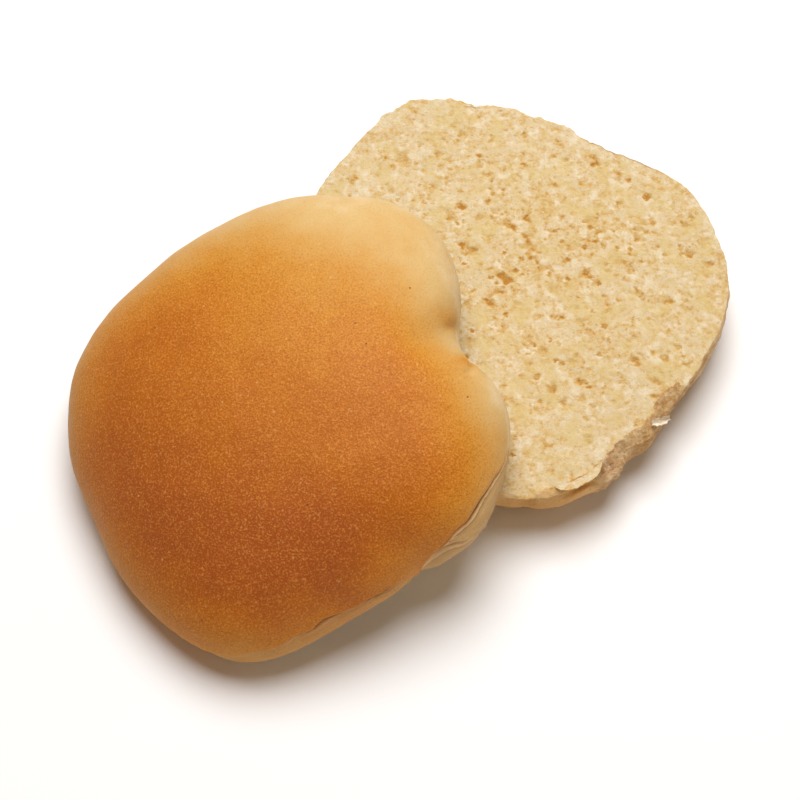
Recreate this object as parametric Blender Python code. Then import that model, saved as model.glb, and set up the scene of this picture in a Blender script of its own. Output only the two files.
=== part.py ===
"""A soft white bread roll cut in two. The bottom half lies flat with its cut face up,
and the top half leans on it, cut face down. Metres, +Z up, origin under the middle of the pair."""

import math

import bmesh
import bpy
from mathutils import Matrix, Vector

# Driving sizes of the roll.
RADIUS = 0.0528
SQUARENESS = 2.25
BOTTOM_HEIGHT = 0.0180
TOP_HEIGHT = 0.0300

# Section of each half, from the cut edge to the pole. The widest place lies this high above the
# cut edge of the top half, and this far below that of the bottom half.
TOP_GIRTH = 0.0055
BOTTOM_GIRTH = 0.0030
# How far the flank turns under between the widest place and the cut, in degrees of the section.
TOP_TUCK = 16
BOTTOM_TUCK = 8
# Superellipse exponents: 2 is round, and more is fuller. The underside is full, since it baked flat.
CROWN_FULLNESS = 2.2
UNDERSIDE_FULLNESS = 3.6
# The underside's curve is this much deeper than the half, and the tray cuts it off flat.
TRAY_FLATTENING = 1.12

# Mesh steps round a half, along its section from pole to pole, and of those across the cut face.
STEPS_ROUND = 96
TOP_STEPS_OVER = 28
BOTTOM_STEPS_OVER = 18
CUT_STEPS = 6
# Above 1 this crowds the steps towards the cut edge.
STEP_CROWDING = 1.35

# How the top half lies: the heading from its middle to the bottom half's middle, and the lean.
LEAN_HEADING = math.radians(36)
MIDDLES_APART = 0.0653
LEAN_ANGLE = math.radians(17)
# Past this distance from its middle the top half droops over the bottom half.
DROOP_START = 0.006
DROOP_ANGLE = math.radians(9)

# Each half's outline: the heading of one corner of the rounded square, then swells and
# hollows of the soft dough, each a heading and a spread in degrees and an amount in metres.
TOP_CORNER = 72
TOP_SWELLS = (
    (66, 26, 0.0056),
    (74, 8, -0.0016),
    (50, 8, 0.0009),
    (20.5, 13, -0.0074),
    (-46, 11, -0.0026),
    (-68, 25, -0.0037),
    (-103, 17, 0.0024),
    (-157, 14, -0.0011),
    (161, 9, 0.0007),
    (134, 10, -0.0009),
)
BOTTOM_CORNER = 12
BOTTOM_SWELLS = (
    (147, 13, 0.0022),
    (118, 15, 0.0050),
    (66, 29, -0.0059),
    (74, 12, 0.0013),
    (32, 9, 0.0013),
    (2, 20, 0.0011),
    (-39, 22, -0.0022),
    (-50, 9, 0.0014),
    (-57, 5, -0.0022),
    (-86, 17, 0.0026),
)
# Swells grow between these shares of the radius, so that the middle of a half stays round.
SWELL_GROWTH = (0.45, 0.95)

# The crease along the flank of the top half, and the foot of dough that flares out below it.
CREASE_HEADING = -44
CREASE_SPREAD = 26
CREASE_HEIGHT = 0.0060
CREASE_WIDTH = 0.0018
CREASE_DEPTH = 0.0016
FOOT_FLARE = 0.0020

CRUST = (0.56, 0.22, 0.045, 1.0)
CRUST_ROUGHNESS = 0.55
CRUMB = (0.80, 0.58, 0.29, 1.0)
CRUMB_ROUGHNESS = 0.9
SHARP_EDGE = math.radians(50)


def make_material(name, colour, roughness):
    material = bpy.data.materials.new(name)
    material.use_nodes = True
    shader = material.node_tree.nodes["Principled BSDF"]
    shader.inputs["Base Color"].default_value = colour
    shader.inputs["Roughness"].default_value = roughness
    return material


def smooth_step(value, low, high):
    share = min(max((value - low) / (high - low), 0.0), 1.0)
    return share * share * (3 - 2 * share)


def bell(angle, heading, spread):
    """1 at the heading, falling to nothing a few spreads away. heading and spread are in degrees."""
    apart = math.remainder(angle - math.radians(heading), math.tau)
    return math.exp(-((apart / math.radians(spread)) ** 2))


def radius_at(angle, share, corner, swells):
    """Distance from the middle of a half, at this heading and share of the way out."""
    turned = angle - math.radians(corner) + math.pi / 4
    size = abs(math.cos(turned)) ** SQUARENESS + abs(math.sin(turned)) ** SQUARENESS
    swell = sum(amount * bell(angle, heading, spread) for heading, spread, amount in swells)
    return share * (RADIUS * size ** (-1 / SQUARENESS) + swell * smooth_step(share, *SWELL_GROWTH))


def section(degrees, fullness):
    """Share out and share up of a rounded section, at this angle above its widest place."""
    turn = math.radians(degrees)
    out = abs(math.cos(turn)) ** (2 / fullness)
    up = math.copysign(abs(math.sin(turn)) ** (2 / fullness), turn)
    return out, up


def top_point(angle, reach):
    """Radius and height on the top half lying flat. reach is -1 mid cut face, 0 at the cut edge
    and 1 at the crown."""
    edge_out, edge_up = section(-TOP_TUCK, CROWN_FULLNESS)
    if reach < 0:
        return radius_at(angle, edge_out * (1 + reach), TOP_CORNER, TOP_SWELLS), 0.0
    degrees = (90 + TOP_TUCK) * reach**STEP_CROWDING - TOP_TUCK
    out, up = section(degrees, CROWN_FULLNESS)
    rise = TOP_HEIGHT - TOP_GIRTH if up > 0 else -TOP_GIRTH / edge_up
    height = TOP_GIRTH + rise * up
    radius = radius_at(angle, out, TOP_CORNER, TOP_SWELLS)
    creased = bell(angle, CREASE_HEADING, CREASE_SPREAD)
    radius -= CREASE_DEPTH * creased * math.exp(-(((height - CREASE_HEIGHT) / CREASE_WIDTH) ** 2))
    radius += FOOT_FLARE * creased * (1 - smooth_step(height, 0, CREASE_HEIGHT))
    return radius, height


def bottom_point(angle, reach):
    """Radius and height on the bottom half. reach is -1 mid cut face, 0 at the cut edge and 1
    under the middle."""
    edge_out, edge_up = section(BOTTOM_TUCK, CROWN_FULLNESS)
    if reach < 0:
        return radius_at(angle, edge_out * (1 + reach), BOTTOM_CORNER, BOTTOM_SWELLS), BOTTOM_HEIGHT
    degrees = BOTTOM_TUCK - (90 + BOTTOM_TUCK) * reach**STEP_CROWDING
    out, up = section(degrees, CROWN_FULLNESS if degrees > 0 else UNDERSIDE_FULLNESS)
    girth = BOTTOM_HEIGHT - BOTTOM_GIRTH
    rise = BOTTOM_GIRTH / edge_up if up > 0 else girth * TRAY_FLATTENING
    return radius_at(angle, out, BOTTOM_CORNER, BOTTOM_SWELLS), max(girth + rise * up, 0.0)


def heading_vector():
    return Vector((math.cos(LEAN_HEADING), math.sin(LEAN_HEADING), 0))


def droop(point):
    """Bends the side of the top half that hangs over the bottom half back towards level."""
    past = point.dot(heading_vector()) - DROOP_START
    if past <= 0:
        return point
    bend_radius = (RADIUS - DROOP_START) / DROOP_ANGLE
    turn = past / bend_radius
    along = (bend_radius + point.z) * math.sin(turn) - past
    drop = (bend_radius + point.z) * (math.cos(turn) - 1)
    return point + heading_vector() * along + Vector((0, 0, drop))


def make_half(name, steps_over, cut_side, point_at, skin, cut):
    """One half, shaped from a round primitive. cut_side is 1 where the cut face is up, else -1."""
    form = bmesh.new()
    bmesh.ops.create_uvsphere(form, u_segments=STEPS_ROUND, v_segments=steps_over, radius=1)
    rings = {}
    for vertex in form.verts:
        from_cut = math.acos(min(max(cut_side * vertex.co.z, -1), 1)) / math.pi
        ring = round(from_cut * steps_over)
        reach = ring / CUT_STEPS - 1 if ring < CUT_STEPS else (ring - CUT_STEPS) / (steps_over - CUT_STEPS)
        angle = math.atan2(vertex.co.y, vertex.co.x)
        radius, height = point_at(angle, reach)
        vertex.co = Vector((radius * math.cos(angle), radius * math.sin(angle), height))
        rings[vertex] = ring
    for face in form.faces:
        face.material_index = int(max(rings[vertex] for vertex in face.verts) <= CUT_STEPS)
    bmesh.ops.recalc_face_normals(form, faces=form.faces)
    mesh = bpy.data.meshes.new(name)
    form.to_mesh(mesh)
    form.free()
    mesh.materials.append(skin)
    mesh.materials.append(cut)
    mesh.shade_smooth()
    mesh.set_sharp_from_angle(angle=SHARP_EDGE)
    return bpy.data.objects.new(name, mesh)


def lean_top_half(top_half):
    """Droops the top half, then tips it up towards the bottom half, its low edge on the surface."""
    for vertex in top_half.data.vertices:
        vertex.co = droop(vertex.co)
    tipped = Matrix.Rotation(-LEAN_ANGLE, 4, heading_vector().cross(Vector((0, 0, -1))))
    tipped.translation = -MIDDLES_APART * heading_vector()
    tipped.translation.z = -min((tipped @ vertex.co).z for vertex in top_half.data.vertices)
    top_half.matrix_world = tipped


def centre_pair(halves):
    """Moves both halves so that the middle of their box is over the origin."""
    corners = [half.matrix_world @ vertex.co for half in halves for vertex in half.data.vertices]
    for axis in (0, 1):
        middle = (min(c[axis] for c in corners) + max(c[axis] for c in corners)) / 2
        for half in halves:
            half.matrix_world.translation[axis] -= middle


def main():
    for leftover in list(bpy.data.objects):
        bpy.data.objects.remove(leftover, do_unlink=True)
    crust = make_material("crust", CRUST, CRUST_ROUGHNESS)
    crumb = make_material("crumb", CRUMB, CRUMB_ROUGHNESS)
    roll = bpy.data.collections.new("bread roll")
    bpy.context.scene.collection.children.link(roll)

    bottom_half = make_half("bottom_half", BOTTOM_STEPS_OVER, 1, bottom_point, crust, crumb)
    top_half = make_half("top_half", TOP_STEPS_OVER, -1, top_point, crust, crumb)
    for half in (bottom_half, top_half):
        roll.objects.link(half)
    lean_top_half(top_half)
    centre_pair((bottom_half, top_half))


main()
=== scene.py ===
import math

import bmesh
import bpy
from mathutils import Matrix, Vector, noise


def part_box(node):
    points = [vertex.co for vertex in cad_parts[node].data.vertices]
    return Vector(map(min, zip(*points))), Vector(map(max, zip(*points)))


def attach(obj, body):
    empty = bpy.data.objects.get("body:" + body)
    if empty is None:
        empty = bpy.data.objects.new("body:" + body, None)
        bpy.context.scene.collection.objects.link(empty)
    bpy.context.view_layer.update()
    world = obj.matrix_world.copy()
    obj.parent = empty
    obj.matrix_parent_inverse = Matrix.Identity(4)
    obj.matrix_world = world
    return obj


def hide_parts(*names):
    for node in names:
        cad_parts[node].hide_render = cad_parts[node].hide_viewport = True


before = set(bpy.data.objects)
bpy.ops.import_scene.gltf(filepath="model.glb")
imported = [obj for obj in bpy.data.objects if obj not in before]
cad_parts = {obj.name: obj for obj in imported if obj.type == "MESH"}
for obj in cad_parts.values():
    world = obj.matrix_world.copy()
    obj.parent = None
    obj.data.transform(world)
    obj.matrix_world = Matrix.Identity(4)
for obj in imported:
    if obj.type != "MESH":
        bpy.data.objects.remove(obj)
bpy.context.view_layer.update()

roll = dict(
    radius=0.0528,
    squareness=2.25,  # 2 would be a round roll
    fullness=2.2,  # of the section
    swellFrom=0.45,  # swells of the outline grow between these shares of the radius
    swellTo=0.95,
)


def smoothStep(value, low, high):
    share = min(max((value - low) / (high - low), 0.0), 1.0)
    return share * share * (3 - 2 * share)


def fadeBand(value, start, full, fade, end):  # 0 before start and after end, 1 from full to fade
    return smoothStep(value, start, full) * (1 - smoothStep(value, fade, end))


def bell(value, middle, spread):
    return math.exp(-(((value - middle) / spread) ** 2))


def turnBell(heading, middle, spread):  # bell round the outline, in degrees
    return bell(math.remainder(heading - middle, 360), 0, spread)


def turnBand(heading, start, end, soft):  # 1 between two headings, soft at its ends
    middle, half = (start + end) / 2, (end - start) / 2
    apart = abs(math.remainder(heading - middle, 360))
    return 1 - smoothStep(apart, half - soft, half + soft)


def swellAt(heading, swells):  # each swell is a heading, a spread and an amount
    return sum(amount * turnBell(heading, middle, spread) for middle, spread, amount in swells)


def patchAt(heading, depth, patches):  # each patch is a heading, a depth, the spreads of both, an amount
    return sum(
        amount * turnBell(heading, middle, turnSpread) * bell(depth, low, depthSpread)
        for middle, low, turnSpread, depthSpread, amount in patches
    )


def outlineRadius(heading, share, half):
    turned = math.radians(heading - half["corner"]) + math.pi / 4
    square = roll["squareness"]
    size = abs(math.cos(turned)) ** square + abs(math.sin(turned)) ** square
    grown = smoothStep(share, roll["swellFrom"], roll["swellTo"])
    return share * (roll["radius"] * size ** (-1 / square) + swellAt(heading, half["swells"]) * grown)


def sectionAt(degrees, fullness):
    turn = math.radians(degrees)
    out = abs(math.cos(turn)) ** (2 / fullness)
    up = math.copysign(abs(math.sin(turn)) ** (2 / fullness), turn)
    return out, up


def around(heading, radius, height=0.0):
    turn = math.radians(heading)
    return Vector((radius * math.cos(turn), radius * math.sin(turn), height))


def rough(point, size, seed=0.0):  # smooth noise from -1 to 1, lumps about this size
    return noise.noise(Vector((point.x / size + seed, point.y / size - seed, point.z / size + 2 * seed)))


def roughSum(point, layers):  # each layer of noise is an amount, a size and a seed
    return sum(amount * rough(point, size, seed) for amount, size, seed in layers)


def moundGrid(cuts, rings, markNames):
    # a flat grid with a skirt of rings below its edge, each ring 1 lower, for shaping later
    mesh = bmesh.new()
    marks = {name: mesh.verts.layers.float.new(name) for name in markNames}
    bmesh.ops.create_grid(mesh, x_segments=cuts, y_segments=cuts, size=1)
    rim = [edge for edge in mesh.edges if edge.is_boundary]
    for _ in range(rings):
        grown = bmesh.ops.extrude_edge_only(mesh, edges=rim)["geom"]
        below = [item for item in grown if isinstance(item, bmesh.types.BMVert)]
        bmesh.ops.translate(mesh, verts=below, vec=(0, 0, -1))
        rim = [item for item in grown if isinstance(item, bmesh.types.BMEdge)]
    return mesh, rim, marks


def onSkirt(vertex):  # of a mound grid that isn't shaped yet
    return vertex.co.z < -0.5


def gridToOutline(vertex, corner):
    # a square grid bent to a round one, its corners on the corners of the roll
    x, y = vertex.co.x, vertex.co.y
    discX = x * math.sqrt(max(1 - y * y / 2, 0))
    discY = y * math.sqrt(max(1 - x * x / 2, 0))
    heading = math.degrees(math.atan2(discY, discX)) + corner - 45
    return math.remainder(heading, 360), min(math.hypot(discX, discY), 1.0)


def shiftToFrame(points, node):  # brings the low corner of the points to that of the node's box
    low = Vector([min(point[axis] for point in points) for axis in range(3)])
    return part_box(node)[0] - low


def keepInside(mesh, node):  # no vertex stands past the node's box
    low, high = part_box(node)
    for vertex in mesh.verts:
        for axis in range(3):
            vertex.co[axis] = min(max(vertex.co[axis], low[axis]), high[axis])


def finishPiece(mesh, name, node, materials):
    data = bpy.data.meshes.new(name)
    mesh.to_mesh(data)
    mesh.free()
    for material in materials:
        data.materials.append(material)
    data.shade_smooth()
    piece = bpy.data.objects.new(name, data)
    bpy.context.scene.collection.objects.link(piece)
    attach(piece, "root")
    if node:
        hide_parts(node)
    print(name, len(data.polygons), "faces")
    return piece


def newMaterial(name, roughness, gloss):
    material = bpy.data.materials.new(name)
    material.use_nodes = True
    shader = material.node_tree.nodes["Principled BSDF"]
    shader.inputs["Roughness"].default_value = roughness
    shader.inputs["Specular IOR Level"].default_value = gloss
    return material, material.node_tree, shader


def addNode(tree, kind, inputs=None, **settings):
    # inputs are values, or the sockets that feed them
    node = tree.nodes.new(kind)
    for name, value in settings.items():
        setattr(node, name, value)
    for name, value in (inputs or {}).items():
        if isinstance(value, bpy.types.NodeSocket):
            tree.links.new(value, node.inputs[name])
        else:
            node.inputs[name].default_value = value
    return node


def objectPoint(tree):
    return addNode(tree, "ShaderNodeTexCoord").outputs["Object"]


def noiseAt(tree, size, detail=2.0, roughness=0.5):  # from 0 to 1, lumps about this size
    return addNode(tree, "ShaderNodeTexNoise", {
        "Vector": objectPoint(tree), "Scale": 1 / size, "Detail": detail, "Roughness": roughness,
    }).outputs["Fac"]


def cellsAt(tree, size):
    return addNode(tree, "ShaderNodeTexVoronoi", {"Vector": objectPoint(tree), "Scale": 1 / size}).outputs


def remap(tree, value, low, high, toLow=0.0, toHigh=1.0, smooth=False):
    return addNode(tree, "ShaderNodeMapRange", {
        0: value, 1: low, 2: high, 3: toLow, 4: toHigh,
    }, interpolation_type="SMOOTHSTEP" if smooth else "LINEAR").outputs[0]


def maths(tree, operation, first, second=0.5):
    return addNode(tree, "ShaderNodeMath", {0: first, 1: second}, operation=operation).outputs[0]


def total(tree, first, *others):
    for value in others:
        first = maths(tree, "ADD", first, value)
    return first


def times(tree, first, *others):
    for value in others:
        first = maths(tree, "MULTIPLY", first, value)
    return first


def attribute(tree, name):
    return addNode(tree, "ShaderNodeAttribute", attribute_name=name).outputs["Fac"]


def mixColour(tree, share, first, second):
    # a Mix node for colours has its factor at input 0 and its colours at 6 and 7
    return addNode(tree, "ShaderNodeMix", {0: share, 6: first, 7: second}, data_type="RGBA").outputs[2]


def colourRamp(tree, value, stops):
    node = addNode(tree, "ShaderNodeValToRGB", {"Fac": value})
    ramp = node.color_ramp
    ramp.elements[0].position, ramp.elements[0].color = stops[0][0], (*stops[0][1], 1)
    ramp.elements[1].position, ramp.elements[1].color = stops[-1][0], (*stops[-1][1], 1)
    for position, colour in stops[1:-1]:
        ramp.elements.new(position).color = (*colour, 1)
    return node.outputs["Color"]


def addBump(tree, shader, height, distance):
    bump = addNode(tree, "ShaderNodeBump", {"Height": height, "Distance": distance, "Strength": 1.0})
    tree.links.new(bump.outputs["Normal"], shader.inputs["Normal"])


crustLook = dict(
    # browning, from dough that stayed pale to the darkest brown
    stops=[
        (0.0, (0.68, 0.52, 0.290)), (0.07, (0.61, 0.42, 0.172)), (0.25, (0.57, 0.31, 0.078)),
        (0.4, (0.545, 0.240, 0.030)), (0.5, (0.52, 0.200, 0.016)), (0.6, (0.50, 0.172, 0.013)),
        (0.7, (0.460, 0.138, 0.009)), (0.85, (0.395, 0.104, 0.009)), (1.0, (0.340, 0.079, 0.012)),
    ],
    roughness=0.5,
    gloss=0.16,
    mottleSize=0.008,
    mottle=0.05,  # how far the browning wanders
    grain=0.00046,  # size of the finest grain
    lightGrain=(0.72, 0.32, 0.060, 1),
    darkGrain=(0.28, 0.070, 0.006, 1),
    grainShare=0.85,
    paleGrain=0.3,  # how much of the grain pale crust shows
    grainGrows=(0.15, 0.5),  # the rest comes between these shares of browning
    grainHeight=0.00016,
    sleekMottle=0.15,  # how much mottle and grain sleek skin shows
    sleekGrain=0.25,
    sleekShare=0.9,  # how far sleek skin takes a colour of its own
    specks=((0.0014, 0.26, 0.30), (0.0036, 0.11, 0.5)),  # spacing, size for its spacing, strength
    speckChance=(0.35, 0.75),  # cells below the first have no speck, above the second a full one
    speckColour=(0.70, 0.40, 0.14, 1),
    prick=0.0052,  # spacing of the dark pinpricks
    prickSize=(0.035, 0.06),  # core and edge, for their spacing
    prickChance=(0.62, 0.66),  # as for the specks
    prickShare=0.8,
    prickColour=(0.14, 0.04, 0.012, 1),
    edgeColour=(0.70, 0.55, 0.33, 1),  # the cut through the crust
    edgeWidth=0.6,  # in mm
    edgeShare=0.8,
    softEdge=0.4,  # specks and that cut fade out from this share of their width
)

# Distances from the middle of a crease are in mm, and less than 0 below it. The dark line along a crease
# is painted shade, the shadow in its gap. Ranges that end in Dark say how dark a crease's painted shade
# is where that part of it starts to show and where it is complete.
creaseLook = dict(
    # painted shade: the colour of the shadow in a crease's gap, and below it that of the deepest slit
    colour=(0.38, 0.125, 0.025, 1),
    lineDark=(0.1, 0.7),
    slitShadeColour=(0.15, 0.048, 0.011, 1),  # of the darkest
    slitDark=(0.55, 0.95),
    width=0.8,  # of the deepest
    core=0.05,
    wobbleSize=0.0015,
    wobble=0.35,
    # thin skin that lifts below a crease, and the fold under that skin, painted darker as shade
    ridge=dict(below=0.75, core=0.2, edge=0.5, share=0.85, colour=(0.76, 0.54, 0.29, 1)),
    fold=dict(below=1.35, core=0.05, edge=0.3, share=0.7, colour=(0.33, 0.18, 0.065, 1)),
    stripeDark=(0.1, 0.5),
    footColour=(0.49, 0.315, 0.135, 1),  # the pale dough below
    footShare=0.85,
    # painted highlight on the crests of the strands, where the wrinkles stand out
    strandHighlightColour=(0.68, 0.50, 0.26, 1),  # of the strands in that dough
    strandPitch=3.4,  # in radians for each mm
    strandSize=0.004,  # strands bend over this distance
    strandBend=9.0,  # by up to this, in radians
    strandFrom=(0.3, 1.0),  # they are the crests of a wave, from here up
    strandShare=0.5,
    strandReach=(-3.5, -1.0),  # they fade out between these
    wrinkleFrom=(-0.3, -0.9),  # and stand out as wrinkles past these
    wrinkle=0.30,  # their height for the crust's grain
    farWrinkle=0.3,  # how much of it is left where the strands have faded
)


def brownedColour(tree, look, grain):
    browning, sleek = attribute(tree, "browning"), attribute(tree, "sleek")
    # this noise stays mostly between 0.3 and 0.7, and the grain between 0.15 and 0.85
    mottle = noiseAt(tree, look["mottleSize"], detail=3)
    mottle = remap(tree, mottle, 0.3, 0.7, -look["mottle"], look["mottle"])
    mottle = times(tree, mottle, remap(tree, sleek, 0, 1, 1, look["sleekMottle"]))
    colour = colourRamp(tree, total(tree, browning, mottle), look["stops"])
    strength = remap(tree, browning, *look["grainGrows"], look["paleGrain"], 1)
    strength = times(tree, strength, remap(tree, sleek, 0, 1, 1, look["sleekGrain"]))
    for end, grainColour in ((0.85, look["lightGrain"]), (0.15, look["darkGrain"])):
        share = times(tree, remap(tree, grain, 0.5, end, 0, look["grainShare"]), strength)
        colour = mixColour(tree, share, colour, grainColour)
    if "sleekStops" in look:
        skin = colourRamp(tree, browning, look["sleekStops"])
        colour = mixColour(tree, times(tree, sleek, look["sleekShare"]), colour, skin)
    return colour


def addSpecks(tree, look, colour):
    for spacing, size, strength in look["specks"]:
        cells = cellsAt(tree, spacing)
        near = remap(tree, cells["Distance"], size * look["softEdge"], size, strength, 0, smooth=True)
        chosen = remap(tree, cells["Color"], *look["speckChance"])
        colour = mixColour(tree, times(tree, near, chosen), colour, look["speckColour"])
    cells = cellsAt(tree, look["prick"])
    prick = remap(tree, cells["Distance"], *look["prickSize"], look["prickShare"], 0, smooth=True)
    chosen = remap(tree, cells["Color"], *look["prickChance"])
    return mixColour(tree, times(tree, prick, chosen), colour, look["prickColour"])


def stripeBelow(tree, gap, stripe):
    away = maths(tree, "ABSOLUTE", total(tree, gap, stripe["below"]))
    return remap(tree, away, stripe["core"], stripe["edge"], stripe["share"], 0, smooth=True)


def addCreases(tree, colour):
    # the colour with the creases and the dough below them, and the height of its wrinkles
    look = creaseLook
    depth, foot = attribute(tree, "creaseDepth"), attribute(tree, "foot")
    wobble = remap(tree, noiseAt(tree, look["wobbleSize"]), 0, 1, -look["wobble"], look["wobble"])
    gap = total(tree, attribute(tree, "creaseGap"), wobble)
    bend = times(tree, noiseAt(tree, look["strandSize"]), look["strandBend"])
    strands = maths(tree, "SINE", total(tree, times(tree, gap, look["strandPitch"]), bend))
    colour = mixColour(tree, times(tree, foot, look["footShare"]), colour, look["footColour"])
    # the pale streaks on the strands' crests are painted highlight
    streak = times(tree, remap(tree, strands, *look["strandFrom"], 0, look["strandShare"]), foot)
    streak = times(tree, streak, remap(tree, gap, *look["strandReach"]))
    colour = mixColour(tree, streak, colour, look["strandHighlightColour"])
    shown = times(tree, remap(tree, depth, *look["stripeDark"]), foot)
    lifted = times(tree, stripeBelow(tree, gap, look["ridge"]), shown, foot)
    colour = mixColour(tree, lifted, colour, look["ridge"]["colour"])
    # painted shade in the fold under the lifted skin
    folded = times(tree, stripeBelow(tree, gap, look["fold"]), shown)
    colour = mixColour(tree, folded, colour, look["fold"]["colour"])
    # the dark line along each crease is painted shade, darkest where it is a slit
    width = times(tree, depth, look["width"])
    line = remap(tree, maths(tree, "ABSOLUTE", gap), look["core"], width, 1, 0, smooth=True)
    line = times(tree, line, remap(tree, depth, *look["lineDark"]))
    dark = mixColour(tree, remap(tree, depth, *look["slitDark"]), look["colour"], look["slitShadeColour"])
    colour = mixColour(tree, line, colour, dark)
    wrinkle = times(tree, remap(tree, gap, *look["wrinkleFrom"]), depth, strands)
    far = remap(tree, gap, *look["strandReach"], look["farWrinkle"], 1)
    return colour, times(tree, wrinkle, far, look["wrinkle"])


def makeCrust(name, look):
    material, tree, shader = newMaterial(name, look["roughness"], look["gloss"])
    grain = noiseAt(tree, look["grain"], detail=2, roughness=0.6)
    colour, wrinkle = addCreases(tree, addSpecks(tree, look, brownedColour(tree, look, grain)))
    width, fromCut = look["edgeWidth"], attribute(tree, "fromCut")
    edge = remap(tree, fromCut, width * look["softEdge"], width, look["edgeShare"], 0, smooth=True)
    colour = mixColour(tree, edge, colour, look["edgeColour"])
    tree.links.new(colour, shader.inputs["Base Color"])
    addBump(tree, shader, total(tree, grain, wrinkle), look["grainHeight"])
    return material


# the flank of the bottom half is dull and granular, with some sleek skin
flankLook = dict(
    crustLook,
    stops=[
        (0.0, (0.66, 0.50, 0.30)), (0.3, (0.58, 0.40, 0.20)),
        (0.6, (0.48, 0.29, 0.115)), (1.0, (0.34, 0.17, 0.06)),
    ],
    sleekStops=[
        (0.0, (0.69, 0.53, 0.31)), (0.25, (0.67, 0.43, 0.18)),
        (0.7, (0.52, 0.24, 0.055)), (1.0, (0.30, 0.11, 0.02)),
    ],
    roughness=0.8,
    gloss=0.08,
    mottleSize=0.0030,
    mottle=0.28,
    grain=0.0008,
    lightGrain=(0.72, 0.60, 0.42, 1),
    darkGrain=(0.30, 0.16, 0.06, 1),
    grainShare=0.7,
    grainHeight=0.00035,
    specks=(),
)

crumbLook = dict(
    # from the open crumb's walls down into its holes, darker and more orange deeper down: painted shade
    # in the holes
    stops=[
        (0.0, (0.605, 0.487, 0.298)), (0.25, (0.585, 0.432, 0.212)), (0.55, (0.535, 0.345, 0.126)),
        (0.8, (0.495, 0.290, 0.080)), (1.0, (0.425, 0.198, 0.040)),
    ],
    # noise that moves a place towards wall or hole: size, detail, roughness, its range, and the
    # move at both ends of that range
    uneven=[(0.0016, 4, 0.62, 0.32, 0.68, -0.28, 0.52), (0.0075, 2, 0.5, 0.35, 0.65, -0.12, 0.16)],
    grain=0.00050,
    grainDepth=0.25,  # moves a place by up to this, either way
    grainHeight=0.00022,
    # the finest holes, painted with the holes' shade too
    fleck=0.0009,  # spacing of the finest holes
    fleckSize=(0.15, 0.45),  # core and edge, for their spacing
    fleckChance=(0.5, 0.8),  # cells below the first have none
    fleckShare=0.45,
    fleckDepth=0.75,
    fleckHeight=0.8,  # for the grain's
    fluff=(0.685, 0.60, 0.44, 1),  # white threads on the walls
    fluffSize=0.0024,
    fluffFrom=(0.49, 0.65),
    fluffHole=(0.1, 0.4),  # it ends between these depths of a hole
    fluffShare=0.85,
    cream=(0.59, 0.455, 0.205, 1),  # soft yellow patches
    creamSize=0.0055,
    creamFrom=(0.48, 0.65),
    creamShare=0.72,
    tint=(0.56, 0.345, 0.195, 1),  # of the torn edge
    tornSize=0.0010,
    tornHeight=4.5,  # for the grain's
    roughness=0.95,
    gloss=0.08,
    softness=0.25,
    softReach=0.0010,
    softColours=(1.0, 0.6, 0.3),
)


def makeCrumb():
    look = crumbLook
    material, tree, shader = newMaterial("softCrumb", look["roughness"], look["gloss"])
    shader.inputs["Subsurface Weight"].default_value = look["softness"]
    shader.inputs["Subsurface Radius"].default_value = look["softColours"]
    shader.inputs["Subsurface Scale"].default_value = look["softReach"]
    grain = noiseAt(tree, look["grain"], detail=2, roughness=0.6)
    hole, torn = attribute(tree, "pore"), attribute(tree, "toast")
    flecks = cellsAt(tree, look["fleck"])
    fleck = remap(tree, flecks["Distance"], *look["fleckSize"], look["fleckShare"], 0, smooth=True)
    fleck = times(tree, fleck, remap(tree, flecks["Color"], *look["fleckChance"]))
    deep = total(tree, hole, times(tree, fleck, look["fleckDepth"]))
    deep = total(tree, deep, remap(tree, grain, 0.2, 0.8, -look["grainDepth"], look["grainDepth"]))
    for size, detail, roughness, *ranges in look["uneven"]:
        deep = total(tree, deep, remap(tree, noiseAt(tree, size, detail, roughness), *ranges))
    colour = colourRamp(tree, deep, look["stops"])
    fluff = noiseAt(tree, look["fluffSize"], detail=4, roughness=0.65)
    fluff = remap(tree, fluff, *look["fluffFrom"], 0, look["fluffShare"])
    fluff = times(tree, fluff, remap(tree, hole, *look["fluffHole"], 1, 0))
    colour = mixColour(tree, fluff, colour, look["fluff"])
    cream = noiseAt(tree, look["creamSize"], detail=3, roughness=0.6)
    cream = remap(tree, cream, *look["creamFrom"], 0, look["creamShare"])
    colour = mixColour(tree, cream, colour, look["cream"])
    colour = mixColour(tree, torn, colour, look["tint"])
    tree.links.new(colour, shader.inputs["Base Color"])
    shreds = noiseAt(tree, look["tornSize"], detail=4, roughness=0.7)
    height = total(tree, grain, times(tree, shreds, torn, look["tornHeight"]))
    height = maths(tree, "SUBTRACT", height, times(tree, fleck, look["fleckHeight"]))
    addBump(tree, shader, height, look["grainHeight"])
    return material


crust = makeCrust("bakedCrust", crustLook)
flank = makeCrust("paleFlank", flankLook)
crumb = makeCrumb()
print("crust and crumb made")

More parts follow.
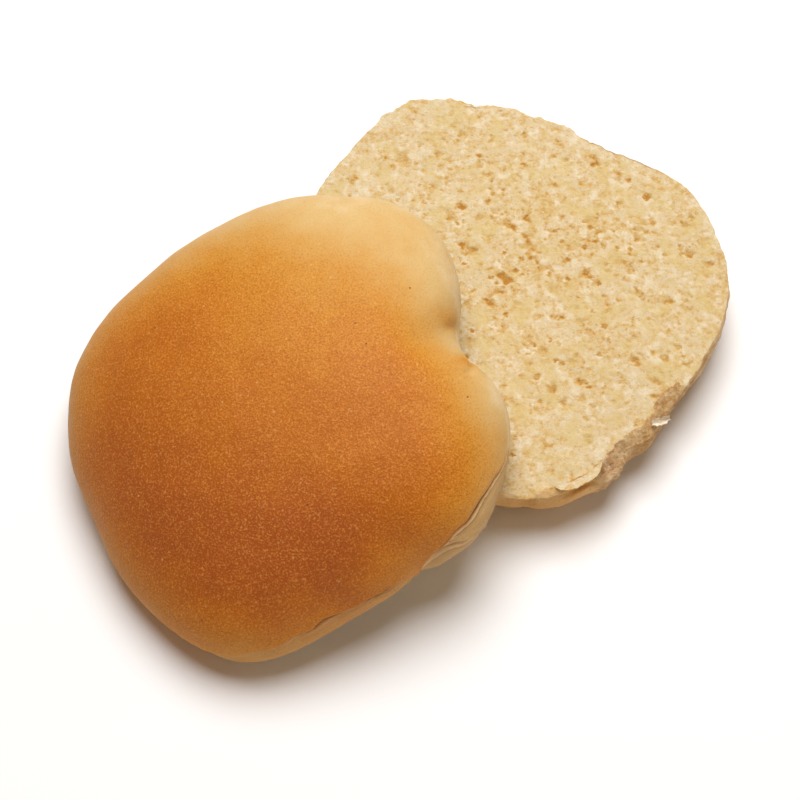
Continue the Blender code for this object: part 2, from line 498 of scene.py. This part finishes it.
crumbForm = dict(
    # size of the cells, share of them that are open, depth of an open one
    cells=[(0.0044, 0.12, 0.0006), (0.0027, 0.29, 0.0004), (0.0016, 0.32, 0.00024)],
    stretch=1.22,  # the holes run long
    stretchTurn=-35,  # this way, in degrees from +X
    warp=0.42,  # how ragged their outlines are, and how finely
    warpSize=0.45,
    wall=0.6,  # they deepen over this share of a cell
    softShare=0.12,  # some cells open only partly
    shallow=0.4,  # depth of the shallowest, for the deepest's
    # the holes' painted shade
    holeShade=(0.35, 0.55),  # how dark an open cell is at least, and what depth adds
    dimple=0.2,  # depth of a closed cell, for an open one's
    busy=(0.034, 0.026),  # the holes are largest round here
    busySpread=0.030,
    busyShare=(0.65, 0.75),  # elsewhere, and what is added here
    busyRough=[(0.4, 0.014, 9)],
    closed=0.35,  # how open they are at the crust, opening up over
    rim=0.004,
    relief=[(0.00050, 0.022, 1), (0.00022, 0.0045, 2), (0.00008, 0.0011, 5)],  # waves, lumps and fuzz
)


def cellChance(centre):  # the same number from 0 to 1 for all of a cell, and a second one
    seed = math.sin(centre.x * 12.9 + centre.y * 78.2 + centre.z * 37.7) * 43758.5
    return seed - math.floor(seed), math.sin(seed * 7) ** 2


def crumbRelief(point, fromRim):
    # height of an open crumb over a flat point, and how far down a hole it is, from 0 to 1, for the
    # hole's painted shade
    form = crumbForm
    flat = Vector((point.x, point.y, 0))
    turn = math.radians(form["stretchTurn"])
    along = flat.x * math.cos(turn) + flat.y * math.sin(turn)
    across = (flat.y * math.cos(turn) - flat.x * math.sin(turn)) * form["stretch"]
    open = form["closed"] + (1 - form["closed"]) * smoothStep(fromRim, 0, form["rim"])
    middle = Vector((*form["busy"], 0))
    base, more = form["busyShare"]
    busy = base + more * bell((flat - middle).length, 0, form["busySpread"])
    busy += roughSum(flat, form["busyRough"])
    height, hole = roughSum(flat, form["relief"]), 0.0
    for layer, (size, share, depth) in enumerate(form["cells"]):
        ragged, fine = form["warp"] * size, form["warpSize"] * size
        place = Vector((
            (along + ragged * rough(flat, fine, 11 + layer)) / size,
            (across + ragged * rough(flat, fine, 17 + layer)) / size,
            3.7 * layer,
        ))
        distances, centres = noise.voronoi(place)
        chance, deep = cellChance(centres[0])
        opened = smoothStep(chance, 1 - share * busy, 1 - share * busy + form["softShare"])
        inside = smoothStep(distances[1] - distances[0], 0, form["wall"])
        height -= depth * opened * inside * (form["shallow"] + (1 - form["shallow"]) * deep) * open
        height -= form["dimple"] * depth * inside
        least, deepest = form["holeShade"]
        hole = max(hole, opened * inside * (least + deepest * deep * busy) * open)
    return height, hole


bottomHalf = dict(
    height=0.0180,
    girth=0.0030,  # widest this far below the cut
    tuck=8,  # degrees of the section above the widest place
    underside=3.6,  # fullness below the widest place
    flattening=1.12,  # the underside's curve is this much deeper, and cut off flat
    corner=12,
    # heading, spread and amount
    swells=[
        (147, 13, 0.0022), (118, 15, 0.0050), (66, 29, -0.0059), (74, 12, 0.0013), (32, 9, 0.0013),
        (2, 20, 0.0011), (-39, 22, -0.0022), (-50, 9, 0.0014), (-57, 5, -0.0022), (-86, 17, 0.0026),
    ],
    faceCuts=250,
    flankRings=35,
    ringCrowding=1.5,  # above 1 it brings the rings closer to the cut
    flankReach=0.62,  # how far under the flank's rings go
    # where the cut edge fell away: headings, how soft their ends are, width and drop
    worn=[
        (-57, -34, 3, 0.0032, 0.0025), (-68, -56, 2, 0.0026, 0.0020),
        (-84, -67, 3, 0.0019, 0.0013), (-114, -86, 4, 0.0012, 0.0008),
    ],
    wornRough=[(0.35, 0.004, 22), (0.2, 0.0012, 23)],
    wornCurve=1.2,  # above 1 the drop steepens outwards
    wornStart=0.08,  # share of the width where it starts to look worn
    wornRelief=0.5,  # how much of the crumb's relief is left there
    wornReach=0.010,  # the flank sinks with the edge down to this depth
    torn=(-68, -56),  # bare crumb between these headings, down the flank too
    tornBulge=0.0010,
    bulgeDepth=(0, 0.002, 0.009, 0.014),
    tornDepth=(0.007, 0.013),  # the bare crumb ends between these
    tornTint=0.62,
    tornWander=[(5, 0.0035, 14), (3, 0.0013, 15)],  # of its ends, in degrees
    tornRough=[(0.4, 0.003, 13)],
    shreds=0.0009,
    shredRough=[(0.9, 0.0017, 6), (0.7, 0.0009, 24)],
    # painted highlight and shade on the shreds: those that stand out are painted paler, those between
    # them darker
    shredLightAndShade=0.3,  # shreds that stand out are paler
    smooth=(-116, -68),  # here the skin is smooth and pale
    skin=[(0.00025, 0.006, 7)],
    skinGrain=[(0.0003, 0.0018, 8), (0.0002, 0.0009, 25)],  # not where it is smooth
    skinDepth=(0, 0.001, 0.014, 0.018),
    # lifts of the cut face: heading, distance in from the rim, spreads of both, amount
    lifts=[(-72, 0.0012, 5, 0.0010, 0.0006), (-86, 0.0010, 1.6, 0.0020, -0.0006)],
    # pushes on the flank: heading, depth below the cut, spreads of both, amount
    pushes=[
        (-78, 0.0050, 5, 0.0035, 0.0013), (-92, 0.0045, 11, 0.0070, -0.0036),
        (-86, 0.0060, 2.0, 0.0060, -0.0016), (-42, 0.0070, 9, 0.0030, -0.0007),
        (-63, 0.0030, 4, 0.0040, 0.0010), (-72, 0.0010, 4, 0.0009, -0.0006),
    ],
    ragged=0.00035,
    raggedRough=[(0.6, 0.0015, 3), (1, 0.0048, 4)],
    fringe=0.0022,  # how far in and down the ragged edge reaches
    frayed=(56, 128),  # the edge is most ragged between these headings,
    fraying=1.9,  # by this much more
    tabs=[(106, 3.5, 0.0011), (99, 1.5, -0.0005), (88, 2.5, 0.0005), (70, 2, 0.0004), (-31, 7, 0.0008)],
    browning=0.12,  # at the cut,
    unevenBrowning=[(0.2, 0.0022, 12)],
    lowBrowning=0.5,  # and how much more lower down, between these depths,
    browningDepth=(0.002, 0.012),
    smoothPales=0.25,  # less where the skin is smooth
    # browner places on the flank, and painted shade under the lip at -72 degrees and in the crease beside
    # the bulge at -86: heading, depth below the cut, spreads of both, amount
    toastedAndShaded=[
        (-48, 0.0015, 9, 0.0060, 0.50), (-37, 0.0015, 5, 0.0050, 0.35), (-26, 0.0022, 10, 0.0014, 0.50),
        (-72, 0.0016, 4.5, 0.0012, 0.60), (-78, 0.0060, 7, 0.0050, 0.26), (-86, 0.0030, 0.8, 0.0030, 0.6),
    ],
)


def bottomRim(heading, share=1.0):  # radius on the cut face, at this share of the way to its rim
    edgeOut = sectionAt(bottomHalf["tuck"], roll["fullness"])[0]
    return outlineRadius(heading, edgeOut * share, bottomHalf)


def bottomSkin(heading, reach):
    half = bottomHalf
    edgeUp = sectionAt(half["tuck"], roll["fullness"])[1]
    degrees = half["tuck"] - (90 + half["tuck"]) * reach
    out, up = sectionAt(degrees, roll["fullness"] if degrees > 0 else half["underside"])
    girth = half["height"] - half["girth"]
    rise = half["girth"] / edgeUp if up > 0 else girth * half["flattening"]
    return outlineRadius(heading, out, half), max(girth + rise * up, 0.0)


def wornAt(heading, inwards, place):
    # drop of the worn edge, and whether the place is on it, from 0 to 1
    drop, past = 0.0, 0.0
    for start, end, soft, width, depth in bottomHalf["worn"]:
        strength = turnBand(heading, start, end, soft)
        reach = width * strength * (1 + roughSum(place, bottomHalf["wornRough"]))
        if reach > 1e-5:
            share = max(1 - max(inwards, 0) / reach, 0)
            drop += depth * strength * share ** bottomHalf["wornCurve"]
            past = max(past, smoothStep(share, 0, bottomHalf["wornStart"]) * strength)
    return drop, past


def layBottomHalf(mesh):
    # shapes the mound and lists each vertex, its heading, distance in from the rim, depth below the cut
    half = bottomHalf
    spots = []
    for vertex in mesh.verts:
        heading, share = gridToOutline(vertex, half["corner"])
        if onSkirt(vertex):
            ring = -vertex.co.z / half["flankRings"]
            radius, height = bottomSkin(heading, half["flankReach"] * ring ** half["ringCrowding"])
            inwards = 0.0
        else:
            radius, height = bottomRim(heading, share), half["height"]
            inwards = bottomRim(heading) - radius
        vertex.co = around(heading, radius, height)
        spots.append((vertex, heading, inwards, half["height"] - height))
    return spots


def raggedEdge(heading, inwards, depth):  # how far the edge stands out
    half = bottomHalf
    rim = around(heading, roll["radius"])
    ragged = roughSum(rim, half["raggedRough"]) - 0.5  # more often in than out
    ragged *= half["ragged"] * (1 + half["fraying"] * turnBand(heading, *half["frayed"], 8))
    reach = half["fringe"]
    fringe = (1 - smoothStep(inwards, 0, reach)) * (1 - smoothStep(depth, 0, 2 * reach))
    return fringe * (ragged + swellAt(heading, half["tabs"]))


def cutFaceMove(vertex, marks, shift, heading, inwards, torn):
    half = bottomHalf
    drop, past = wornAt(heading, inwards, vertex.co)
    height, hole = crumbRelief(vertex.co + shift, inwards)
    shreds = roughSum(vertex.co, half["shredRough"])
    # the shreds get painted highlight where they stand out and painted shade between them
    vertex[marks["pore"]] = hole * (1 - past) + past * half["shredLightAndShade"] * (1 - 2 * shreds)
    vertex[marks["toast"]] = (half["tornTint"] - half["shredLightAndShade"] * shreds) * torn * past
    height *= 1 - (1 - half["wornRelief"]) * past
    height += torn * past * half["shreds"] * shreds + patchAt(heading, inwards, half["lifts"])
    return Vector((0, 0, height - drop))


def flankMove(vertex, marks, heading, depth, torn, smooth):
    half = bottomHalf
    place = vertex.co
    shreds = roughSum(place, half["shredRough"])
    # the shreds get painted highlight where they stand out and painted shade between them
    vertex[marks["pore"]] = half["shredLightAndShade"] * (1 - 2 * shreds)
    vertex[marks["toast"]] = (half["tornTint"] - half["shredLightAndShade"] * shreds) * torn
    bulge = torn * fadeBand(depth, *half["bulgeDepth"]) * (half["tornBulge"] + half["shreds"] * shreds)
    skin = roughSum(place, half["skin"]) + (1 - smooth) * roughSum(place, half["skinGrain"])
    skin *= fadeBand(depth, *half["skinDepth"])
    move = vertex.normal * (bulge + skin) + around(heading, 1) * patchAt(heading, depth, half["pushes"])
    move.z -= wornAt(heading, 0.0, place)[0] * (1 - smoothStep(depth, 0, half["wornReach"]))
    return move


def paintBottomHalf(mesh):
    # bare crumb on the cut face and where the flank is torn, crust elsewhere
    half = bottomHalf
    for face in mesh.faces:
        middle = face.calc_center_median()
        heading = math.degrees(math.atan2(middle.y, middle.x))
        heading += roughSum(middle, half["tornWander"])
        bare = turnBand(heading, *half["torn"], 4)
        if min(vertex.co.z for vertex in face.verts) > half["height"] - 1e-6:
            inwards = bottomRim(heading) - math.hypot(middle.x, middle.y)
            past = wornAt(heading, inwards, middle)[1]
            face.material_index = int(past < 0.5 or bare > 0.5)
        elif len(face.verts) == 4:  # all but the flat underside
            patch = bare - smoothStep(half["height"] - middle.z, *half["tornDepth"])
            face.material_index = int(patch + roughSum(middle, half["tornRough"]) > 0.5)


def makeBottomHalf():
    half = bottomHalf
    mesh, rim, marks = moundGrid(half["faceCuts"], half["flankRings"], [
        "pore", "toast", "browning", "fromCut", "sleek",
    ])
    bmesh.ops.contextual_create(mesh, geom=rim)
    spots = layBottomHalf(mesh)
    shift = shiftToFrame([vertex.co for vertex in mesh.verts], "bottom_half")
    bmesh.ops.recalc_face_normals(mesh, faces=mesh.faces)
    mesh.normal_update()
    paintBottomHalf(mesh)
    moves = []
    for vertex, heading, inwards, depth in spots:
        torn = turnBand(heading, *half["torn"], 3)
        smooth = turnBand(heading, *half["smooth"], 4)
        if inwards > 0 or depth < 1e-6:
            move = cutFaceMove(vertex, marks, shift, heading, inwards, torn)
        else:
            move = flankMove(vertex, marks, heading, depth, torn, smooth)
        moves.append((vertex, move + around(heading, raggedEdge(heading, inwards, depth))))
        lower = half["lowBrowning"] - half["smoothPales"] * smooth
        lower *= smoothStep(depth, *half["browningDepth"])
        uneven = roughSum(vertex.co, half["unevenBrowning"]) * (1 - smooth)
        toastedAndShaded = patchAt(heading, depth + inwards, half["toastedAndShaded"])
        vertex[marks["browning"]] = half["browning"] + lower + uneven + toastedAndShaded
        vertex[marks["sleek"]] = smooth
        vertex[marks["fromCut"]] = 9.0  # mm, so that no cut through the crust shows
    for vertex, move in moves:
        vertex.co += move + shift
    keepInside(mesh, "bottom_half")
    piece = finishPiece(mesh, "bottomHalf", "bottom_half", [flank, crumb])


topHalf = dict(
    height=0.0300,
    girth=0.0055,  # widest this far above the cut
    tuck=16,
    corner=72,
    # heading, spread and amount
    swells=[
        (66, 26, 0.0056), (74, 8, -0.0016), (50, 8, 0.0009), (20.5, 13, -0.0074), (-46, 11, -0.0026),
        (-68, 25, -0.0037), (-103, 17, 0.0024), (-157, 14, -0.0011), (161, 9, 0.0007), (134, 10, -0.0009),
    ],
    crownCuts=200,
    crownShare=0.74,  # the crown's grid covers this share of the radius,
    crownEnd=0.999,  # and stops just short of the first ring
    flankRings=42,
    ringCrowding=1.25,  # above 1 it brings the rings closer to the cut
    faceCuts=156,
    faceEnd=0.996,  # the cut face's grid stops just inside the rim
    heading=36,  # towards the bottom half, which it leans on
    lean=17,
    droopFrom=0.006,
    droop=9,
    # furrows on the flank, from and to: heading and height, then width and depth
    furrows=[
        (26, 0.006, 25, 0.013, 0.0016, 0.0005),
        (16, 0.008, 8, 0.017, 0.0008, 0.0006),
    ],
    relief=[(0.00030, 0.014, 0), (0.00010, 0.004, 1)],  # lumps and ripples
)

# Creases low on the flank. Heights and widths are in the flank's own shape, before it leans.
creaseForm = dict(
    wander=[(0.0012, 0.0050, 21)],
    ends=0.08,  # a crease fades in over this share of its length
    width=0.0005,
    slitSpread=6,  # in degrees
    lipHeight=0.0012,  # the lip is highest this far above the crease
    lipWidth=0.0009,
    # distances below the crease over which the step comes and goes, and foot and bare dough come
    stepBelow=(0, 0.0006, 0.001, 0.004),
    footFrom=(0.001, 0.005),
    bareFrom=(0.0002, 0.0009),
    footStart=(0, 0.16),  # the foot fades in over these shares of the length,
    footStop=(0.2, 0.7),  # and out over these, from the other end
    darkSoft=6,  # in degrees
    # Each runs between two headings, start and end. low and high are its heights at the ends and
    # in the middle, and with a small bow it rises early. lip is the swelling above, step the step
    # in below, and foot how far the dough below stands out. At slitAt it is deeper, by slit. dark
    # is how dark its painted shade is from deepFrom to deepTo, and bare how little crust that dough has.
    lines=[
        dict(
            start=-50, end=-7, low=0.0020, high=0.0118, bow=0.6, depth=0.0004, lip=0.0001, step=0.0002,
            foot=0.0014, slit=0.6, slitAt=-26, dark=0.6, deepFrom=-48, deepTo=-7, bare=1.0,
        ),
        dict(
            start=-112, end=-51, low=0.0036, high=0.0105, bow=0.35, depth=0.0007, lip=0.0003, step=0.0003,
            foot=0.0006, slit=0.7, slitAt=-60, dark=0.9, deepFrom=-88, deepTo=-50, bare=0.4,
        ),
        dict(
            start=-51, end=-28, low=0.0010, high=0.0080, bow=0.9, depth=0.0006, lip=0.0003, step=0.0002,
            foot=0.0, slit=0, slitAt=0, dark=0.3, deepFrom=-51, deepTo=-28, bare=0.8,
        ),
    ],
)

browningLook = dict(
    middle=0.72,
    towards=-115,  # the crust darkens in this heading
    slope=9.0,  # for each metre
    most=0.34,
    evenFrom=0.78,  # from this share of the radius it darkens less,
    even=0.45,  # by this much at the rim
    paleFrom=0.63,  # the rim pales from this share of the radius
    pale=0.50,
    paleCurve=1.3,
    # heading, radius, spread and amount. The darker patches at 27 and 13 degrees are painted shadow in
    # the folds of the notch, and the one at -22 degrees painted shade on the right flank; the paler ones
    # at 20 and 37 degrees are painted light by the notch.
    patches=[
        (-62, 0.035, 0.009, 0.12), (-3, 0.054, 0.008, -0.12), (128, 0.033, 0.016, 0.10),
        (5, 0.032, 0.012, 0.05), (-42, 0.047, 0.009, 0.20), (-68, 0.046, 0.010, 0.28),
        (-92, 0.048, 0.009, 0.10), (3.5, 0.0505, 0.006, -0.10), (37, 0.048, 0.009, -0.09),
        (27, 0.0465, 0.003, 0.20), (20, 0.0465, 0.0035, -0.10), (13, 0.046, 0.0018, 0.25),
        (70, 0.046, 0.014, -0.10), (-22, 0.046, 0.010, 0.13), (150, 0.047, 0.010, 0.07),
        (193, 0.046, 0.010, 0.09), (207, 0.036, 0.012, 0.05), (-75, 0.034, 0.009, 0.05),
        (-100, 0.051, 0.007, -0.10), (5, 0.026, 0.012, 0.05),
    ],
    skirt=(-10, 62),  # between these headings the very edge is white,
    skirtHeight=(0.0055, 0.0100),  # fading out between these heights
    skirtPale=0.45,
    foot=0.20,  # browning of the dough below the creases
)


def topRim(heading, share=1.0):  # radius on the cut face, at this share of the way to its rim
    edgeOut = sectionAt(-topHalf["tuck"], roll["fullness"])[0]
    return outlineRadius(heading, edgeOut * share, topHalf)


def topSkin(heading, reach):
    half = topHalf
    degrees = (90 + half["tuck"]) * reach - half["tuck"]
    out, up = sectionAt(degrees, roll["fullness"])
    edgeUp = sectionAt(-half["tuck"], roll["fullness"])[1]
    rise = half["height"] - half["girth"] if up > 0 else -half["girth"] / edgeUp
    return outlineRadius(heading, out, half), half["girth"] + rise * up, out


def creaseAt(heading, height, place):
    # push along the surface, signed distance to the nearest crease in mm, how dark its painted shade is,
    # share of foot
    form = creaseForm
    push, gap, dark, foot = 0.0, 9.0, 0.0, 0.0
    for crease in form["lines"]:
        share = (heading - crease["start"]) / (crease["end"] - crease["start"])
        if not 0 < share < 1:
            continue
        rise = math.sin(math.pi * share) ** crease["bow"]
        line = crease["low"] + (crease["high"] - crease["low"]) * rise + roughSum(place, form["wander"])
        below = line - height
        strength = fadeBand(share, 0, form["ends"], 1 - form["ends"], 1)
        slit = 1 + crease["slit"] * turnBell(heading, crease["slitAt"], form["slitSpread"])
        footEnds = smoothStep(share, *form["footStart"]) * smoothStep(1 - share, *form["footStop"])
        push += strength * crease["lip"] * bell(-below, form["lipHeight"], form["lipWidth"])
        push -= strength * crease["depth"] * slit * bell(below, 0, form["width"] * slit)
        push -= strength * crease["step"] * fadeBand(below, *form["stepBelow"])
        push += footEnds * crease["foot"] * smoothStep(below, *form["footFrom"])
        foot = max(foot, crease["bare"] * strength * smoothStep(below, *form["bareFrom"]))
        if abs(below) * 1000 < abs(gap):
            gap = -below * 1000
            band = turnBand(heading, crease["deepFrom"], crease["deepTo"], form["darkSoft"])
            dark = crease["dark"] * slit * strength * band
    return push, gap, dark, foot


def furrowDepth(heading, height):
    depth = 0.0
    for startTurn, startHeight, endTurn, endHeight, width, deepness in topHalf["furrows"]:
        place = Vector((math.radians(heading) * roll["radius"], height))
        start = Vector((math.radians(startTurn) * roll["radius"], startHeight))
        line = Vector((math.radians(endTurn) * roll["radius"], endHeight)) - start
        share = min(max((place - start).dot(line) / line.length_squared, 0), 1)
        depth += deepness * bell((place - start - line * share).length, 0, width)
    return depth


def browningAt(place, heading, share):
    look = browningLook
    flat = Vector((place.x, place.y, 0))
    across = min(look["slope"] * flat.length, look["most"])
    across *= 1 - look["even"] * smoothStep(share, look["evenFrom"], 1)
    brown = look["middle"] + across * math.cos(math.radians(heading - look["towards"]))
    paling = max((share - look["paleFrom"]) / (1 - look["paleFrom"]), 0)
    brown -= look["pale"] * paling ** look["paleCurve"]
    for middle, out, spread, amount in look["patches"]:
        brown += amount * bell((flat - around(middle, out)).length, 0, spread)
    edge = 1 - smoothStep(place.z, *look["skirtHeight"])
    return brown - look["skirtPale"] * turnBand(heading, *look["skirt"], 8) * edge


def leanTop(point):
    # droops over the edge of the bottom half, then tips up
    half = topHalf
    towards = around(half["heading"], 1)
    past = point.dot(towards) - half["droopFrom"]
    if past > 0:
        bendRadius = (roll["radius"] - half["droopFrom"]) / math.radians(half["droop"])
        turn = past / bendRadius
        along = (bendRadius + point.z) * math.sin(turn) - past
        point = point + towards * along
        point.z += (bendRadius + point.z) * (math.cos(turn) - 1)
    return Matrix.Rotation(-math.radians(half["lean"]), 3, towards.cross(Vector((0, 0, -1)))) @ point


def layCrown(mesh):
    # shapes the mound, and lists each vertex, its heading and its share of the radius
    half = topHalf
    crownReach = (half["tuck"] + 90 * (1 - half["crownShare"] ** 1.3)) / (90 + half["tuck"])
    spots = []
    for vertex in mesh.verts:
        heading, share = gridToOutline(vertex, half["corner"])
        if onSkirt(vertex):
            reach = crownReach * (1 + vertex.co.z / half["flankRings"]) ** half["ringCrowding"]
        else:
            reach = 1 - (1 - crownReach) * share * half["crownEnd"]
        radius, height, out = topSkin(heading, reach)
        vertex.co = around(heading, radius, height)
        spots.append((vertex, heading, out))
    return spots


def layCutFace(mesh, rim):
    # a grid under the mound, bridged to its rim. It lists each vertex and its distance in from there
    crown = set(mesh.faces)
    half = topHalf
    cuts = half["faceCuts"]
    grid = bmesh.ops.create_grid(mesh, x_segments=cuts, y_segments=cuts, size=1)["verts"]
    inner = {edge: None for vertex in grid for edge in vertex.link_edges if edge.is_boundary}
    spots = []
    for vertex in grid:
        heading, share = gridToOutline(vertex, half["corner"])
        radius = topRim(heading, share * half["faceEnd"])
        vertex.co = around(heading, radius, 0)
        spots.append((vertex, topRim(heading) - radius))
    bmesh.ops.bridge_loops(mesh, edges=[*rim, *inner])
    for face in mesh.faces:
        face.material_index = int(face not in crown)
    return spots


def makeTopHalf():
    half = topHalf
    mesh, rim, marks = moundGrid(half["crownCuts"], half["flankRings"], [
        "pore", "toast", "browning", "fromCut", "creaseGap", "creaseDepth", "foot",
    ])
    above = layCrown(mesh)
    under = layCutFace(mesh, rim)
    bmesh.ops.recalc_face_normals(mesh, faces=mesh.faces)
    flat = {vertex: vertex.co.copy() for vertex in mesh.verts}
    shift = shiftToFrame([leanTop(point) for point in flat.values()], "top_half")
    for vertex in mesh.verts:
        vertex.co = leanTop(flat[vertex]) + shift
    mesh.normal_update()
    moves = []
    for vertex, heading, share in above:
        place = flat[vertex]
        relief = roughSum(place, half["relief"]) - furrowDepth(heading, place.z)
        push, gap, dark, foot = creaseAt(heading, place.z, place)
        brown = browningAt(place, heading, share)
        vertex[marks["browning"]] = brown + (browningLook["foot"] - brown) * foot
        vertex[marks["foot"]] = foot
        vertex[marks["creaseGap"]] = gap
        vertex[marks["creaseDepth"]] = dark
        vertex[marks["fromCut"]] = place.z * 1000
        moves.append((vertex, vertex.normal * (relief * smoothStep(place.z, 0, 0.002) + push)))
    for vertex, inwards in under:
        height, vertex[marks["pore"]] = crumbRelief(flat[vertex], inwards)
        moves.append((vertex, vertex.normal * height * smoothStep(inwards, 0, 0.002)))
    for vertex, move in moves:
        vertex.co += move
    keepInside(mesh, "top_half")
    piece = finishPiece(mesh, "topHalf", "top_half", [crust, crumb])


flakes = dict(
    thickness=0.0003,
    cuts=(36, 10),
    # a scrap that curls off the flank of the bottom half
    heading=-44,
    radius=0.0502,
    height=0.0162,
    length=0.0046,
    width=0.0019,
    curl=0.0016,
    turn=-28,  # about the way up
    tilt=8,
    # a lip of crumb that hangs over the rim
    lipStart=-79,
    lipEnd=-65,
    lipInside=0.0034,
    lipOutside=-0.0008,
    lipCurl=0.0005,
    lipSink=0.0001,
    jag=0.0004,  # how ragged both are
    ripple=0.00015,
    colour=(0.74, 0.65, 0.52, 1),
)


def flakePoint(u, v):  # u and v run from -1 to 1
    look = flakes
    spot = Vector((u, v, 0))
    edge = Vector((u, math.copysign(1, v), 0))
    narrow = 0.5 * look["width"] * (1 - 0.5 * u * u + 0.5 * rough(edge, 0.35, 31))
    lift = look["curl"] * (0.8 * v * v + 0.6 * max(u, 0) ** 2 + 0.35 * rough(spot, 0.6, 32))
    point = Vector((u * look["length"] / 2 + look["jag"] * rough(spot, 0.5, 35), v * narrow, lift))
    turned = Matrix.Rotation(math.radians(look["heading"] + 90 + look["turn"]), 3, "Z")
    turned = turned @ Matrix.Rotation(math.radians(look["tilt"]), 3, "X")
    return around(look["heading"], look["radius"], look["height"]) + turned @ point


def lipPoint(u, v):  # u runs along the rim and v outwards, from -1 to 1
    look = flakes
    heading = (look["lipStart"] + look["lipEnd"]) / 2 + u * (look["lipEnd"] - look["lipStart"]) / 2
    out = (v + 1) / 2
    ends = 1 - u ** 4
    reach = (look["lipInside"] + look["lipOutside"]) * (0.15 + 0.85 * ends)
    reach += look["jag"] * rough(Vector((u, 0, 0)), 0.16, 33)
    up = look["lipCurl"] * ends * v * abs(v) + look["ripple"] * rough(Vector((u, v, 0)), 0.3, 34)
    height = bottomHalf["height"] - look["lipSink"] + up
    return around(heading, bottomRim(heading) - look["lipInside"] + reach * out, height)


def makeFlakes():
    mesh = bmesh.new()
    for name in ("pore", "toast"):
        mesh.verts.layers.float.new(name)
    low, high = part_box("bottom_half")
    middle = (low + high) / 2
    middle.z = 0
    across, along = flakes["cuts"]
    for index, pointAt in enumerate((lipPoint, flakePoint)):
        sheet = bmesh.ops.create_grid(mesh, x_segments=across, y_segments=along, size=1)["verts"]
        for vertex in sheet:
            vertex.co = middle + pointAt(vertex.co.x, vertex.co.y)
        faces = list({face: None for vertex in sheet for face in vertex.link_faces})
        grown = bmesh.ops.extrude_face_region(mesh, geom=faces)["geom"]
        above = [item for item in grown if isinstance(item, bmesh.types.BMVert)]
        bmesh.ops.translate(mesh, verts=above, vec=(0, 0, flakes["thickness"]))
        for vertex in (*sheet, *above):
            for face in vertex.link_faces:
                face.material_index = index
    bmesh.ops.recalc_face_normals(mesh, faces=mesh.faces)
    drySkin, _, shader = newMaterial("drySkin", 0.8, 0.1)
    shader.inputs["Base Color"].default_value = flakes["colour"]
    piece = finishPiece(mesh, "flakes", None, [crumb, drySkin])


makeBottomHalf()
makeTopHalf()
makeFlakes()

studio = dict(
    floorColour=(0.87, 0.88, 0.89, 1),
    lensLength=110,
    sensorWidth=36,
    distance=0.6,
    elevation=66,
    aim=(-0.0005, -0.0085, 0.012),
    worldColour=(1.0, 0.70, 0.49, 1),
    worldStrength=0.185,
    lampDistance=1.0,
)

# power and size, degrees to the right of straight behind, elevation, colour
lamps = dict(
    key=(12.9, 0.74, 5, 70, (1.0, 1.0, 1.0)),
    fill=(1.5, 0.25, 175, 8, (1.0, 0.74, 0.5)),
    side=(0.95, 0.5, 82, 24, (1.0, 0.88, 0.72)),
)


def makeFloor():
    mesh = bmesh.new()
    bmesh.ops.create_grid(mesh, x_segments=2, y_segments=2, size=3)
    data = bpy.data.meshes.new("floor")
    mesh.to_mesh(data)
    mesh.free()
    floor = bpy.data.objects.new("floor", data)
    bpy.context.scene.collection.objects.link(floor)
    paper, _, shader = newMaterial("floorPaper", 0.9, 0.2)
    shader.inputs["Base Color"].default_value = studio["floorColour"]
    data.materials.append(paper)


def makeLamp(name, power, size, turn, elevation, colour):
    turn, rise = math.radians(turn), math.radians(elevation)
    towards = Vector((math.sin(turn) * math.cos(rise), math.cos(turn) * math.cos(rise), math.sin(rise)))
    light = bpy.data.lights.new(name, "AREA")
    light.shape = "DISK"
    light.size = size
    light.energy = power
    light.color = colour
    lamp = bpy.data.objects.new(name, light)
    lamp.location = towards * studio["lampDistance"]
    lamp.rotation_euler = towards.to_track_quat("Z", "Y").to_euler()
    bpy.context.scene.collection.objects.link(lamp)


def makeWorld():
    world = bpy.data.worlds.new("studio")
    world.use_nodes = True
    background = world.node_tree.nodes["Background"]
    background.inputs["Color"].default_value = studio["worldColour"]
    background.inputs["Strength"].default_value = studio["worldStrength"]
    bpy.context.scene.world = world
    bpy.context.scene.view_settings.view_transform = "Standard"


def makeCamera():
    rise = math.radians(studio["elevation"])
    back = Vector((0, -math.cos(rise), math.sin(rise)))
    lens = bpy.data.cameras.new("camera")
    lens.lens = studio["lensLength"]
    lens.sensor_width = studio["sensorWidth"]
    camera = bpy.data.objects.new("camera", lens)
    camera.location = Vector(studio["aim"]) + back * studio["distance"]
    camera.rotation_euler = back.to_track_quat("Z", "Y").to_euler()
    bpy.context.scene.collection.objects.link(camera)
    bpy.context.scene.camera = camera


makeFloor()
for name, lamp in lamps.items():
    makeLamp(name, *lamp)
makeWorld()
makeCamera()
print("studio ready")
